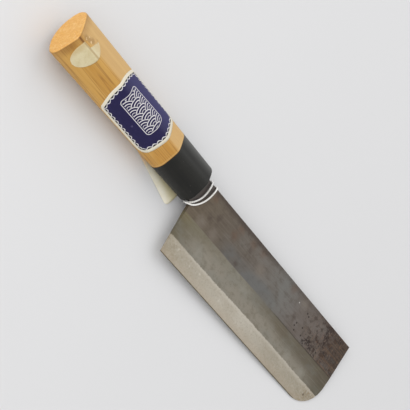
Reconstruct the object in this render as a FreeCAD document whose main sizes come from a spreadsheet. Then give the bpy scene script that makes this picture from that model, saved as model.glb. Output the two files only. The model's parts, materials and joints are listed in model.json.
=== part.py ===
"""Hand-forged vegetable knife with a straight edge, a laminated blade and a D-shaped wooden handle.

Every piece is drawn in the knife's own axes, in millimetres: X runs along the handle to the tip and is 0 at
the front of the ferrule, Y runs up to the spine and Z out of the right face. One common placement then lays
the knife down as it settles on a table with the right face up: the heavy blade carries it on the front of the
ferrule and the rounded corner of the tip, and the butt stays clear. The row's axes are X to the tip, Y towards
the spine and Z up, and the origin is under the middle of the knife, on the table.
"""
import FreeCAD, Part
import math
import os
import Sketcher

Vector = FreeCAD.Vector
NEAR = 1e-4  # two points closer than this are one place

doc = FreeCAD.newDocument("nakiri_knife")
sheet = doc.addObject("Spreadsheet::Sheet", "Sizes")

# Driving dimensions, in millimetres and degrees
DRIVING = [
    ("handle_length", 126.0, "butt to the front of the ferrule"),
    ("ferrule_length", 29.9, "length of the black collar"),
    ("butt_half_width", 14.95, "half the handle's width at the butt"),
    ("butt_half_depth", 10.35, "handle axis to the underside at the butt"),
    ("butt_ridge_shift", -2.75, "ridge towards the spine at the butt"),
    ("butt_ridge_height", 13.0, "top of the ridge above the handle axis at the butt"),
    ("butt_crest", 3.6, "radius of the rounded ridge at the butt"),
    ("butt_corner", 6.6, "radius of the handle's sides at the butt"),
    ("front_half_width", 13.0, "half the ferrule's width at its front"),
    ("front_half_depth", 9.4, "handle axis to the underside at the front"),
    ("front_ridge_shift", 0.45, "ridge towards the spine at the front"),
    ("front_ridge_height", 10.1, "top of the ridge above the handle axis at the front"),
    ("front_crest", 6.3, "radius of the rounded ridge at the front"),
    ("front_corner", 8.4, "radius of the ferrule's sides at its front"),
    ("flank_radius", 60.0, "crown of the two faces that run up to the ridge"),
    ("butt_easing", 0.7, "easing of the butt's edge"),
    ("front_easing", 0.4, "easing of the ferrule's front edge"),
    ("blade_length", 165.0, "heel to tip along the edge"),
    ("spine_height", 7.5, "spine above the handle axis"),
    ("edge_drop", 44.4, "cutting edge below the handle axis"),
    ("heel_gap", 6.7, "ferrule to the heel's corner"),
    ("neck_gap", 4.05, "ferrule to the top of the heel"),
    ("neck_drop", 10.4, "underside of the neck below the handle axis"),
    ("tip_radius", 20.0, "rounding of the tip's lower corner"),
    ("root_length", 18.0, "ferrule to where the blade's flat for a rack begins"),
    ("spine_thickness", 2.6, "thickness of the blade from the spine to the grind line"),
    ("core_thickness", 1.25, "thickness of the hard middle layer"),
    ("edge_thickness", 0.2, "thickness left at the cutting edge"),
    ("grind_drop", 16.8, "grind line below the handle axis"),
    ("tang_length", 88.0, "tang inside the handle"),
    ("tang_root_height", 12.0, "tang height at the ferrule's front"),
    ("tang_end_height", 7.0, "tang height at its end"),
    ("tang_clearance", 0.1, "room round the tang in its slot"),
    ("tang_end_room", 3.0, "slot past the end of the tang"),
    ("tenon_half_width", 9.2, "half the tenon's width"),
    ("tenon_half_depth", 6.0, "half the tenon's depth"),
    ("tenon_clearance", 0.05, "room round the tenon in the ferrule"),
    ("mouth_depth", 2.4, "front of the ferrule to the end of the tenon"),
    ("seal_recess", 0.4, "front of the ferrule to the face of the seal"),
    ("seal_clearance", 0.02, "room between the seal and its neighbours"),
    ("paper_thickness", 0.2, "thickness of the labels and the sticker"),
    ("paste_thickness", 0.02, "room between a paper and what it is stuck to"),
    ("label_length", 43.0, "front label along the handle's sides"),
    ("label_arch", 4.3, "arch of the front label's back end, at the ridge"),
    ("label_setback", 41.0, "front of the ferrule to the front label"),
    ("label_edge_side", 14.0, "front label from the handle axis towards the edge"),
    ("label_spine_side", 13.6, "front label from the handle axis towards the spine"),
    ("label_front_corner", 6.5, "rounding of the front label's front corners"),
    ("label_back_corner", 2.0, "rounding of the front label's back corners"),
    ("sticker_setback", 115.0, "front of the ferrule to the middle of the oval sticker"),
    ("sticker_shift", -3.65, "middle of the oval sticker towards the spine"),
    ("sticker_half_length", 6.8, "half the oval sticker along the handle"),
    ("sticker_half_width", 9.1, "half the oval sticker across the handle"),
    ("tear_skew_angle", 24.0, "slant of the tear across the oval sticker"),
    ("tear_setback", 116.3, "front of the ferrule to the tear at the ridge"),
    ("strip_length", 48.0, "paper strip along the handle"),
    ("strip_width", 15.0, "paper strip across the handle"),
    ("strip_corner", 3.0, "rounding of the paper strip's corners"),
    ("strip_skew_angle", 14.0, "slant of the paper strip to the handle"),
    ("strip_setback", 2.1, "front of the ferrule to the end of the paper strip"),
    ("strip_overhang", 17.2, "loose side of the paper strip to where it leaves the handle"),
    ("strip_lift_angle", 9.0, "how far round the underside the paper strip leaves the handle"),
    ("strip_paste", 0.05, "room between the paper strip and the handle"),
    ("cord_diameter", 1.1, "white cord"),
    ("cord_rise", 1.0, "middle of the cord above the spine"),
    ("cord_knot_radius", 1.9, "knot of the cord"),
    ("cord_neck_reach", 0.9, "front of the ferrule to the outer turn, under the neck"),
    ("cord_neck_drop", 13.3, "outer turn below the handle axis, under the neck"),
    ("cord_neck_step", 1.35, "outer to inner turn along the knife, under the neck"),
    ("cord_neck_climb", 1.7, "outer to inner turn towards the spine, under the neck"),
    ("cord_spine_reach", 13.6, "front of the ferrule to the outer turn, at the spine"),
    ("cord_spine_step", 4.9, "outer turn back to the inner turn, at the spine"),
    ("cord_bow_reach", 1.8, "bow of both turns towards the tip, on the right face"),
    ("cord_bow_drop", 4.6, "bow of the outer turn towards the edge, on the right face"),
    ("cord_bow_climb", 2.65, "outer to inner turn towards the spine, on the right face"),
    ("cord_right_height", 3.0, "outer turn above the blade's middle, on the right face"),
    ("cord_right_step", 0.2, "inner turn above the outer turn, on the right face"),
    ("cord_left_back", 0.2, "bow of the crossing turn towards the handle, on the left face"),
    ("cord_left_climb", 0.5, "bow of the crossing turn towards the spine, on the left face"),
    ("cord_left_depth", 3.2, "crossing turn below the blade's middle, on the left face"),
    ("cord_knot_reach", 0.7, "knot towards the tip, from the middle of its turn"),
    ("cord_knot_depth", 5.6, "knot below the blade's middle"),
    ("rest_pitch_angle", 2.31, "slope of the settled knife, down to the tip"),
    ("rest_roll_angle", 3.42, "lean of the settled knife, down to the edge"),
]

# Sizes that follow from them: sections of the handle, where they stand, and the blade's tip
SECTION_SIZES = ("half_width", "half_depth", "ridge_shift", "ridge_height", "crest", "corner")
RADIUS_RULE = "=({w}^2 + {d}^2 - 2 * {w} * {c}) / (2 * ({d} - {c}))"
BETWEEN_RULE = "=front_{what} + (butt_{what} - front_{what}) * ferrule_length / handle_length"
EASED_RULE = "={end}_{what} - {end}_easing"
DERIVED = [("shoulder_" + what, BETWEEN_RULE.format(what=what)) for what in SECTION_SIZES]
for eased, end in (("endface", "butt"), ("mouth", "front")):
    for what in SECTION_SIZES:
        rule = "={end}_{what}" if what == "ridge_shift" else EASED_RULE
        DERIVED.append((eased + "_" + what, rule.format(end=end, what=what)))
for end in ("endface", "butt", "shoulder", "front", "mouth"):
    rule = RADIUS_RULE.format(w=end + "_half_width", d=end + "_half_depth", c=end + "_corner")
    DERIVED.append((end + "_belly", rule))
DERIVED += [
    ("endface_setback", "=handle_length"),
    ("butt_setback", "=handle_length - butt_easing"),
    ("shoulder_setback", "=ferrule_length"),
    ("front_setback", "=front_easing"),
    ("mouth_setback", "=0"),
    ("tip_reach", "=heel_gap + blade_length"),
    ("rest_x", "=0"),
    ("rest_y", "=0"),
    ("rest_z", "=0"),
]
REST_POSE = ("placement(vector(Sizes.rest_x; Sizes.rest_y; Sizes.rest_z);"
             " rotation(0; Sizes.rest_pitch_angle; Sizes.rest_roll_angle))")


def fill_sheet():
    """Write every size with its name; the driving ones also say what they are."""
    row = 0
    for alias, value, meaning in DRIVING:
        row += 1
        sheet.set("A%d" % row, meaning)
        sheet.set("B%d" % row, str(value))
        sheet.setAlias("B%d" % row, alias)
    for alias, formula in DERIVED:
        row += 1
        sheet.set("A%d" % row, "worked out")
        sheet.set("B%d" % row, formula)
        sheet.setAlias("B%d" % row, alias)
    doc.recompute()


def size(formula):
    """Value of a sheet formula as a plain number."""
    value = sheet.evalExpression(formula)
    return float(getattr(value, "Value", value))


fill_sheet()

# Helpers for sketches


def new_body(label):
    """A body laid in the knife's resting pose."""
    body = doc.addObject("PartDesign::Body", label)
    body.Label = label
    body.setExpression("Placement", REST_POSE)
    return body


def new_sketch(body, name, role, offset=None):
    """A sketch on one of the body's own planes, moved along the plane's normal by a formula."""
    sketch = body.newObject("Sketcher::SketchObject", name)
    plane = [feature for feature in body.Origin.OriginFeatures if feature.Role == role][0]
    sketch.AttachmentSupport = [(plane, "")]
    sketch.MapMode = "FlatFace"
    if offset is not None:
        sketch.setExpression("AttachmentOffset.Base.z", offset)
    return sketch


def hold(sketch, name, formula, kind, *where):
    """A named constraint whose value is a formula of the sheet."""
    index = sketch.addConstraint(Sketcher.Constraint(kind, *where, size(formula)))
    sketch.renameConstraint(index, name)
    sketch.setExpression("Constraints." + name, formula)


def hold_point(sketch, name, where, x_formula, y_formula):
    """Place a sketch point by its two coordinates."""
    hold(sketch, name + "_x", x_formula, "DistanceX", -1, 1, *where)
    hold(sketch, name + "_y", y_formula, "DistanceY", -1, 1, *where)


def draw_outline(sketch, corners, rounds=None):
    """Closed outline through corners given as pairs of formulas.

    rounds maps the number of a side to the formula of its radius: that side is then a quarter circle that
    continues the sides beside it.
    """
    rounds = rounds or {}
    points = [Vector(size(x), size(y), 0) for x, y in corners]
    count = len(points)
    for number in range(count):
        start, end = points[number], points[(number + 1) % count]
        if number not in rounds:
            sketch.addGeometry(Part.LineSegment(start, end))
            continue
        before = points[number - 1]
        along = (start - before).normalize()
        radius = size(rounds[number])
        across = (end - start - along * radius).normalize()
        middle = start + across * radius + (along - across) * (radius / math.sqrt(2))
        sketch.addGeometry(Part.Arc(start, middle, end))
    ends = [_side_ends(sketch, number, points) for number in range(count)]
    for number in range(count):
        following = (number + 1) % count
        joint = Sketcher.Constraint("Coincident", number, ends[number][1], following, ends[following][0])
        sketch.addConstraint(joint)
        x_formula, y_formula = corners[number]
        hold_point(sketch, "corner_%d" % number, (number, ends[number][0]), x_formula, y_formula)
    for number, radius in rounds.items():
        hold(sketch, "round_%d" % number, radius, "Radius", number)


def _side_ends(sketch, number, points):
    """Which end of a side is its first point: arcs keep their own sense of turning."""
    side = sketch.Geometry[number]
    if side.StartPoint.distanceToPoint(points[number]) < side.EndPoint.distanceToPoint(points[number]):
        return 1, 2
    return 2, 1


def draw_oval(sketch, half_width, half_depth):
    """Long round-ended outline centred on the handle's axis, half_width along the sketch's X."""
    radius = size(half_depth)
    reach = size(half_width) - radius
    right = Part.Circle(Vector(reach, 0, 0), Vector(0, 0, 1), radius)
    left = Part.Circle(Vector(-reach, 0, 0), Vector(0, 0, 1), radius)
    sketch.addGeometry(Part.ArcOfCircle(right, -math.pi / 2, math.pi / 2))
    sketch.addGeometry(Part.LineSegment(Vector(reach, radius, 0), Vector(-reach, radius, 0)))
    sketch.addGeometry(Part.ArcOfCircle(left, math.pi / 2, 3 * math.pi / 2))
    sketch.addGeometry(Part.LineSegment(Vector(-reach, -radius, 0), Vector(reach, -radius, 0)))
    for number in range(4):
        sketch.addConstraint(Sketcher.Constraint("Tangent", number, 2, (number + 1) % 4, 1))
    for number, sign in ((0, ""), (2, "-")):
        sketch.addConstraint(Sketcher.Constraint("PointOnObject", number, 3, -1))
        reach_formula = "%s(%s - %s)" % (sign, half_width, half_depth)
        hold(sketch, "centre_%d" % number, reach_formula, "DistanceX", -1, 1, number, 3)
        hold(sketch, "radius_%d" % number, half_depth, "Radius", number)


# The handle's section: a belly, two round sides, two crowned faces and the rounded ridge between them


def section_arcs(end, grow=0.0):
    """The six arcs of the handle's section at one end, as centre, radius and two angles, grown outwards."""
    width = size("Sizes.%s_half_width" % end)
    depth = size("Sizes.%s_half_depth" % end)
    corner = size("Sizes.%s_corner" % end)
    crest = size("Sizes.%s_crest" % end)
    belly = size("Sizes.%s_belly" % end)
    flank = size("Sizes.flank_radius")
    belly_centre = Vector(0, belly - depth, 0)
    ridge = Vector(size("Sizes.%s_ridge_shift" % end), size("Sizes.%s_ridge_height" % end) - crest, 0)
    sides = [Vector(width - corner, 0, 0), Vector(corner - width, 0, 0)]
    flanks = [_flank_centre(side, corner, ridge, crest, flank, sign) for side, sign in zip(sides, (1, -1))]
    lower = [_angle(side - belly_centre) for side in sides]
    upper = [_angle(side - centre) for side, centre in zip(sides, flanks)]
    top = [_angle(ridge - centre) for centre in flanks]
    return [
        (belly_centre, belly + grow, lower[1], lower[0]),
        (sides[0], corner + grow, lower[0], upper[0]),
        (flanks[0], flank + grow, upper[0], top[0]),
        (ridge, crest + grow, top[0], top[1]),
        (flanks[1], flank + grow, top[1], upper[1]),
        (sides[1], corner + grow, upper[1], lower[1]),
    ]


def _angle(direction):
    """Angle of a direction in the section's plane, in radians."""
    return math.atan2(direction.y, direction.x)


def _flank_centre(side, corner, ridge, crest, flank, sign):
    """Centre of the crowned face that runs from a round side to the rounded ridge."""
    across = ridge - side
    gap = across.Length
    along = (gap ** 2 + (flank - corner) ** 2 - (flank - crest) ** 2) / (2 * gap)
    away = math.sqrt((flank - corner) ** 2 - along ** 2)
    unit = across.normalize()
    return side + unit * along + Vector(unit.y, -unit.x, 0) * (-sign * away)


def draw_section(sketch, end):
    """The handle's section as a sketch bound to the sheet."""
    arcs = section_arcs(end)
    for centre, radius, start, stop in arcs:
        circle = Part.Circle(centre, Vector(0, 0, 1), radius)
        sketch.addGeometry(Part.ArcOfCircle(circle, start, stop if stop > start else stop + 2 * math.pi))
    for number in range(len(arcs)):
        sketch.addConstraint(Sketcher.Constraint("Tangent", number, 2, (number + 1) % len(arcs), 1))
    prefix = "Sizes.%s_" % end
    hold(sketch, "belly", prefix + "belly", "Radius", 0)
    for number, sign in ((1, ""), (5, "-")):
        sketch.addConstraint(Sketcher.Constraint("PointOnObject", number, 3, -1))
        reach = "%s(%shalf_width - %scorner)" % (sign, prefix, prefix)
        hold(sketch, "side_%d" % number, reach, "DistanceX", -1, 1, number, 3)
        hold(sketch, "corner_%d" % number, prefix + "corner", "Radius", number)
    for number in (2, 4):
        hold(sketch, "flank_%d" % number, "Sizes.flank_radius", "Radius", number)
    hold(sketch, "crest", prefix + "crest", "Radius", 3)
    hold_point(sketch, "ridge", (3, 3), prefix + "ridge_shift", "%sridge_height - %screst" % (prefix, prefix))


def section_wire(end, grow):
    """The handle's section as a wire across the knife, grown outwards by a paper's thickness."""
    edges = []
    setback = size("Sizes.%s_setback" % end)
    for centre, radius, start, stop in section_arcs(end, grow):
        stop = stop if stop > start else stop + 2 * math.pi
        points = []
        for angle in (start, (start + stop) / 2, stop):
            flat = centre + Vector(math.cos(angle), math.sin(angle), 0) * radius
            points.append(Vector(-setback, flat.x, flat.y))
        edges.append(Part.Arc(*points).toShape())
    return Part.Wire(edges)


def grip_form(grow):
    """The outside of the wooden grip as a solid, grown outwards."""
    return Part.makeLoft([section_wire("butt", grow), section_wire("shoulder", grow)], True, True)


# Features


def pad(body, name, sketch, length, midplane=False, backwards=False):
    """Extrude a sketch."""
    feature = body.newObject("PartDesign::Pad", name)
    feature.Profile = sketch
    feature.Refine = False
    feature.SideType = "Symmetric" if midplane else "One side"
    feature.Reversed = backwards
    feature.setExpression("Length", length)
    return feature


def pocket(body, name, sketch, length=None):
    """Cut a sketch out on both sides of its plane: right through, or to a full width."""
    feature = body.newObject("PartDesign::Pocket", name)
    feature.Profile = sketch
    feature.Refine = False
    feature.SideType = "Symmetric"
    if length is None:
        feature.Type = "ThroughAll"
    else:
        feature.setExpression("Length", length)
    return feature


def loft(body, name, ends):
    """Join sections of the handle with straight lines, in order from the butt to the front."""
    sketches = []
    for end in ends:
        sketch = new_sketch(body, "%s_%s_section" % (name, end), "YZ_Plane", "-Sizes.%s_setback" % end)
        draw_section(sketch, end)
        sketches.append(sketch)
    feature = body.newObject("PartDesign::AdditiveLoft", name)
    feature.Profile = sketches[0]
    feature.Sections = sketches[1:]
    feature.Ruled = True
    feature.Refine = False
    return feature


# The blade: three forge-welded layers of one outline


def root_corners():
    """Tang, neck and the back end of the blade, as far as the rack flat."""
    return [
        ("Sizes.root_length", "Sizes.spine_height"),
        ("0", "Sizes.spine_height"),
        ("0", "Sizes.tang_root_height / 2"),
        ("-Sizes.tang_length", "Sizes.tang_end_height / 2"),
        ("-Sizes.tang_length", "-Sizes.tang_end_height / 2"),
        ("0", "-Sizes.tang_root_height / 2"),
        ("0", "-Sizes.neck_drop"),
        ("Sizes.neck_gap", "-Sizes.neck_drop"),
        ("Sizes.heel_gap", "-Sizes.edge_drop"),
        ("Sizes.root_length", "-Sizes.edge_drop"),
    ]


def plate_corners():
    """The rest of the blade, from the rack flat's back end to the tip."""
    return [
        ("Sizes.root_length", "Sizes.spine_height"),
        ("Sizes.root_length", "-Sizes.edge_drop"),
        ("Sizes.tip_reach - Sizes.tip_radius", "-Sizes.edge_drop"),
        ("Sizes.tip_reach", "-Sizes.edge_drop + Sizes.tip_radius"),
        ("Sizes.tip_reach", "Sizes.spine_height"),
    ]


def grind_corners(sign):
    """Wedge taken off one face between the grind line and past the cutting edge, in Y and Z."""
    slope = "(Sizes.spine_thickness - Sizes.edge_thickness) / 2 / (Sizes.edge_drop - Sizes.grind_drop)"
    past = "(Sizes.edge_drop + Sizes.edge_thickness)"
    low = "(Sizes.edge_thickness / 2 - Sizes.edge_thickness * %s)" % slope
    return [
        ("-Sizes.grind_drop", "%s * Sizes.spine_thickness / 2" % sign),
        ("-" + past, "%s * %s" % (sign, low)),
        ("-" + past, "%s * Sizes.spine_thickness" % sign),
        ("-Sizes.grind_drop", "%s * Sizes.spine_thickness" % sign),
    ]


def make_layer(label, level, thickness, midplane, backwards, faces):
    """One layer of the blade and tang, with its ground faces."""
    body = new_body(label)
    outlines = (("root", root_corners(), {}), ("plate", plate_corners(), {2: "Sizes.tip_radius"}))
    for name, corners, rounds in outlines:
        sketch = new_sketch(body, "%s_%s_outline" % (label, name), "XY_Plane", level)
        draw_outline(sketch, corners, rounds)
        pad(body, "%s_%s" % (label, name), sketch, thickness, midplane, backwards)
    for sign in faces:
        side = "right" if sign == "1" else "left"
        sketch = new_sketch(body, "%s_%s_grind_outline" % (label, side), "YZ_Plane")
        draw_outline(sketch, grind_corners(sign))
        pocket(body, "%s_%s_grind" % (label, side), sketch)
    return body


def make_blade():
    """Hard core between two soft layers."""
    cladding = "(Sizes.spine_thickness - Sizes.core_thickness) / 2"
    level = "Sizes.core_thickness / 2"
    return [
        make_layer("blade_core", "0", "Sizes.core_thickness", True, False, ("1", "-1")),
        make_layer("cladding_right", level, cladding, False, False, ("1",)),
        make_layer("cladding_left", "-" + level, cladding, False, True, ("-1",)),
    ]


# Handle, ferrule and seal


def make_handle():
    """Wooden grip with its tenon and the burnt-in slot for the tang."""
    body = new_body("handle")
    loft(body, "handle_grip", ("endface", "butt", "shoulder"))
    tenon = new_sketch(body, "handle_tenon_outline", "YZ_Plane", "-Sizes.shoulder_setback")
    draw_oval(tenon, "Sizes.tenon_half_width", "Sizes.tenon_half_depth")
    pad(body, "handle_tenon", tenon, "Sizes.shoulder_setback - Sizes.mouth_depth")
    slot = new_sketch(body, "handle_slot_outline", "XY_Plane")
    room = "Sizes.tang_clearance"
    draw_outline(slot, [
        ("0", "Sizes.tang_root_height / 2 + " + room),
        ("-Sizes.tang_length - Sizes.tang_end_room", "Sizes.tang_end_height / 2 + " + room),
        ("-Sizes.tang_length - Sizes.tang_end_room", "-Sizes.tang_end_height / 2 - " + room),
        ("0", "-Sizes.tang_root_height / 2 - " + room),
    ])
    pocket(body, "handle_slot", slot, "Sizes.spine_thickness + 2 * " + room)
    return body


def make_ferrule():
    """Black collar that carries the grip's outside on to the front, with an oval bore."""
    body = new_body("ferrule")
    loft(body, "ferrule_collar", ("shoulder", "front", "mouth"))
    bore = new_sketch(body, "ferrule_bore_outline", "YZ_Plane")
    room = " + Sizes.tenon_clearance"
    draw_oval(bore, "(Sizes.tenon_half_width%s)" % room, "(Sizes.tenon_half_depth%s)" % room)
    pocket(body, "ferrule_bore", bore)
    return body


def make_seal():
    """Resin plug in the ferrule's mouth, round the tang."""
    body = new_body("tang_seal")
    plug = new_sketch(body, "seal_outline", "YZ_Plane", "-Sizes.mouth_depth + Sizes.seal_clearance")
    room = " + Sizes.tenon_clearance - Sizes.seal_clearance"
    draw_oval(plug, "(Sizes.tenon_half_width%s)" % room, "(Sizes.tenon_half_depth%s)" % room)
    pad(body, "seal_plug", plug, "Sizes.mouth_depth - Sizes.seal_recess - Sizes.seal_clearance")
    slot = new_sketch(body, "seal_slot_outline", "YZ_Plane")
    half_height = "(Sizes.tang_root_height / 2 + Sizes.seal_clearance)"
    half_depth = "(Sizes.spine_thickness / 2 + Sizes.seal_clearance)"
    draw_outline(slot, [
        (half_height, half_depth),
        ("-" + half_height, half_depth),
        ("-" + half_height, "-" + half_depth),
        (half_height, "-" + half_depth),
    ])
    pocket(body, "seal_slot", slot)
    return body


# Papers stuck to the handle


def add_piece(label, shape):
    """A plain shape drawn in the knife's axes, as a node of its own."""
    feature = doc.addObject("Part::Feature", label)
    feature.Label = label
    feature.Shape = shape
    feature.setExpression("Placement", REST_POSE)
    return feature


def rounded_rectangle(low_x, high_x, low_y, high_y, radius):
    """Face of a rectangle with round corners, in the XY plane."""
    slab = Part.makeBox(high_x - low_x, high_y - low_y, 1.0, Vector(low_x, low_y, 0))
    uprights = [edge for edge in slab.Edges if edge.BoundBox.ZLength > 0.5]
    rounded = slab.makeFillet(radius, uprights)
    return [face for face in rounded.Faces if face.BoundBox.ZMax < 0.5][0]


def paper_skin():
    """Thin skin over the grip, from which the papers are cut."""
    paste = size("Sizes.paste_thickness")
    return grip_form(paste + size("Sizes.paper_thickness")).cut(grip_form(paste))


def make_front_label():
    """Label wrapped over the ridge, from one side of the grip to the other, with an arched back end."""
    front = -size("Sizes.label_setback")
    back = front - size("Sizes.label_length")
    edge_side, spine_side = -size("Sizes.label_edge_side"), size("Sizes.label_spine_side")
    corners = [Vector(front, edge_side, 0), Vector(front, spine_side, 0),
               Vector(back, spine_side, 0), Vector(back, edge_side, 0)]
    crown = Vector(back - size("Sizes.label_arch"), (edge_side + spine_side) / 2, 0)
    sides = [Part.LineSegment(corners[0], corners[1]), Part.LineSegment(corners[1], corners[2]),
             Part.Arc(corners[2], crown, corners[3]), Part.LineSegment(corners[3], corners[0])]
    outline = Part.Face(Part.Wire([side.toShape() for side in sides]))
    above = outline.extrude(Vector(0, 0, size("Sizes.handle_length")))
    for place, corner in ((front, "front_corner"), (back, "back_corner")):
        uprights = [edge for edge in above.Edges if _is_upright(edge, place)]
        above = above.makeFillet(size("Sizes.label_" + corner), uprights)
    return add_piece("front_label", single_solid(paper_skin().common(above)))


def _is_upright(edge, place):
    """Whether an edge stands along Z at a place along the handle."""
    low, high = edge.Vertexes[0].Point, edge.Vertexes[-1].Point
    return all(end.isEqual(Vector(place, low.y, end.z), NEAR) for end in (low, high))


def make_oval_sticker():
    """Oval sticker across the ridge, with the spine side torn off towards the butt."""
    centre = Vector(-size("Sizes.sticker_setback"), size("Sizes.sticker_shift"), 0)
    half_length, half_width = size("Sizes.sticker_half_length"), size("Sizes.sticker_half_width")
    oval = Part.Ellipse(centre + Vector(0, half_width, 0), centre + Vector(half_length, 0, 0), centre)
    face = Part.Face(Part.Wire(oval.toShape()))
    above = face.extrude(Vector(0, 0, size("Sizes.handle_length")))
    sticker = paper_skin().common(above)
    reach = size("Sizes.handle_length")
    torn = Part.makeBox(reach, reach, 2 * reach, Vector(-reach, 0, -reach))
    torn.rotate(Vector(), Vector(0, 0, 1), -size("Sizes.tear_skew_angle"))
    tear = -size("Sizes.tear_setback")
    torn.translate(Vector(tear, ridge_shift_at(tear), 0))
    ridge_side = Part.makeBox(reach, reach, 2 * reach, Vector(-2 * reach, 0, -reach))
    ridge_side.translate(Vector(reach, ridge_shift_at(tear), 0))
    return add_piece("oval_sticker", single_solid(sticker.cut(torn.common(ridge_side))))


def ridge_shift_at(x):
    """How far the ridge lies towards the spine at a place along the handle."""
    share = -x / size("Sizes.handle_length")
    return size("Sizes.front_ridge_shift") * (1 - share) + size("Sizes.butt_ridge_shift") * share


def single_solid(shape):
    """The one solid that a cut should leave."""
    if len(shape.Solids) != 1:
        raise RuntimeError("expected one solid, found %d" % len(shape.Solids))
    return shape.Solids[0]


def underside(x):
    """Radius of the handle's belly and depth of its underside at a place along the handle."""
    shoulder = -size("Sizes.ferrule_length")
    if x > shoulder:
        ends, share = ("front", "shoulder"), x / shoulder
    else:
        ends, share = ("shoulder", "butt"), (shoulder - x) / (shoulder + size("Sizes.handle_length"))
    near, far = ["Sizes.%s_" % end for end in ends]
    return [size(near + what) * (1 - share) + size(far + what) * share for what in ("belly", "half_depth")]


def strip_section(x):
    """Section of the paper strip's sheet: pasted round the underside, then straight on to the loose side."""
    belly, depth = underside(x)
    lift = math.radians(size("Sizes.strip_lift_angle"))
    inner = belly + size("Sizes.strip_paste")
    outer = inner + size("Sizes.paper_thickness")
    loose = Vector(0, -math.cos(lift), math.sin(lift)) * (2 * size("Sizes.strip_overhang"))

    def at(angle, radius):
        return Vector(x, -radius * math.sin(angle), belly - depth - radius * math.cos(angle))

    far = -math.pi / 4
    middle = (far + lift) / 2
    edges = [
        Part.Arc(at(far, inner), at(middle, inner), at(lift, inner)).toShape(),
        Part.LineSegment(at(lift, inner), at(lift, inner) + loose).toShape(),
        Part.LineSegment(at(lift, inner) + loose, at(lift, outer) + loose).toShape(),
        Part.LineSegment(at(lift, outer) + loose, at(lift, outer)).toShape(),
        Part.Arc(at(lift, outer), at(middle, outer), at(far, outer)).toShape(),
        Part.LineSegment(at(far, outer), at(far, inner)).toShape(),
    ]
    return Part.Wire(edges), at(lift, inner), loose


def make_back_label():
    """Paper strip under the ferrule and the grip: pasted at its back, with its edge side loose and flat."""
    length, width = size("Sizes.strip_length"), size("Sizes.strip_width")
    places = (-length - width, -size("Sizes.ferrule_length"), 0.0)
    wires, lift_points, loose_ways = zip(*[strip_section(x) for x in places])
    form = Part.makeLoft(list(wires), True, True)
    outline = rounded_rectangle(-length, 0, -width, 0, size("Sizes.strip_corner"))
    outline.rotate(Vector(), Vector(0, 0, 1), size("Sizes.strip_skew_angle"))
    outline.translate(Vector(-size("Sizes.strip_setback"), size("Sizes.strip_overhang"), -width))
    column = outline.extrude(Vector(0, 0, 2 * width))
    along = (lift_points[-1] - lift_points[0]).normalize()
    across = loose_ways[-1].normalize()
    turned = FreeCAD.Rotation(along, across, along.cross(across), "XYZ")
    column.Placement = FreeCAD.Placement(lift_points[-1], turned)
    return add_piece("back_label", single_solid(form.common(column)))


# The cord: two turns round the neck, their two ends in one knot


def spot(x_formula, y_formula, z_formula):
    """A place or a step in the knife's axes, from three formulas of the sheet."""
    return Vector(size(x_formula), size(y_formula), size(z_formula))


def cord_stations():
    """Quarter-turn stations of the cord as pairs of place and direction, and the place of the knot.

    Each turn passes the underside of the neck, the right face, the spine and the left face. At the neck the
    turns lie one inside the other in the notch behind the heel, and at the spine they fan out. The knot
    closes the outer turn on the left face.
    """
    turns = 2
    neck_first = spot("Sizes.cord_neck_reach", "-Sizes.cord_neck_drop", "0")
    neck_step = spot("Sizes.cord_neck_step", "Sizes.cord_neck_climb", "0")
    spine_first = spot("Sizes.cord_spine_reach", "Sizes.spine_height + Sizes.cord_rise", "0")
    spine_step = spot("-Sizes.cord_spine_step", "0", "0")
    right_bow = spot("Sizes.cord_bow_reach", "-Sizes.cord_bow_drop", "Sizes.cord_right_height")
    right_step = spot("0", "Sizes.cord_bow_climb", "Sizes.cord_right_step")
    left_bow = spot("-Sizes.cord_left_back", "Sizes.cord_left_climb", "-Sizes.cord_left_depth")
    knot_bow = spot("Sizes.cord_knot_reach", "0", "-Sizes.cord_knot_depth")
    up, down = Vector(0, 0, 1), Vector(0, 0, -1)
    stations = []
    for turn in range(turns):
        neck = neck_first + neck_step * turn
        spine = spine_first + spine_step * turn
        stations.append((neck, up))
        stations.append(((neck + spine) * 0.5 + right_bow + right_step * turn, spine - neck))
        stations.append((spine, down))
        if turn < turns - 1:
            following = neck + neck_step
            stations.append(((spine + following) * 0.5 + left_bow, following - spine))
    knot = (spine + neck_first) * 0.5 + knot_bow
    return stations, knot, (neck_first - spine).normalize()


def biarc(start, start_way, end, end_way):
    """Two arcs that leave one station and reach the next, each in its own direction."""
    start_way, end_way = Vector(start_way).normalize(), Vector(end_way).normalize()
    across, both = end - start, start_way + end_way
    square, linear = 2 * start_way.dot(end_way) - 2, across.dot(both)
    reach = (linear - math.sqrt(linear ** 2 - square * across.dot(across))) / square
    middle = (start + start_way * reach + end - end_way * reach) * 0.5
    return [arc_from(start, start_way, middle), arc_from(end, end_way * -1, middle)]


def arc_from(start, way, end):
    """Arc that leaves a point in a direction and ends at another point, with its radius."""
    chord = end - start
    aside = chord - way * chord.dot(way)
    radius = chord.dot(chord) / (2 * aside.Length)
    centre = start + aside.normalize() * radius
    outward = ((start - centre) + (end - centre)).normalize()
    return Part.Arc(start, centre + outward * radius, end), radius


def cord_path():
    """The cord's centre line from one end in the knot to the other, the radii of its bends, and the knot."""
    stations, knot, way = cord_stations()
    buried = way * (0.65 * size("Sizes.cord_knot_radius"))
    tail = way * size("Sizes.cord_diameter")
    first, last = knot + buried, knot - buried
    stations = [(first + tail, way)] + stations + [(last - tail, way)]
    edges = [Part.LineSegment(first, first + tail).toShape()]
    radii = []
    for (start, start_way), (end, end_way) in zip(stations, stations[1:]):
        for curve, radius in biarc(start, start_way, end, end_way):
            edges.append(curve.toShape())
            radii.append(radius)
    edges.append(Part.LineSegment(last - tail, last).toShape())
    ring = Part.Circle(first, way, size("Sizes.cord_diameter") / 2)
    return Part.Wire(edges), Part.Wire(ring.toShape()), radii, knot


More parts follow.
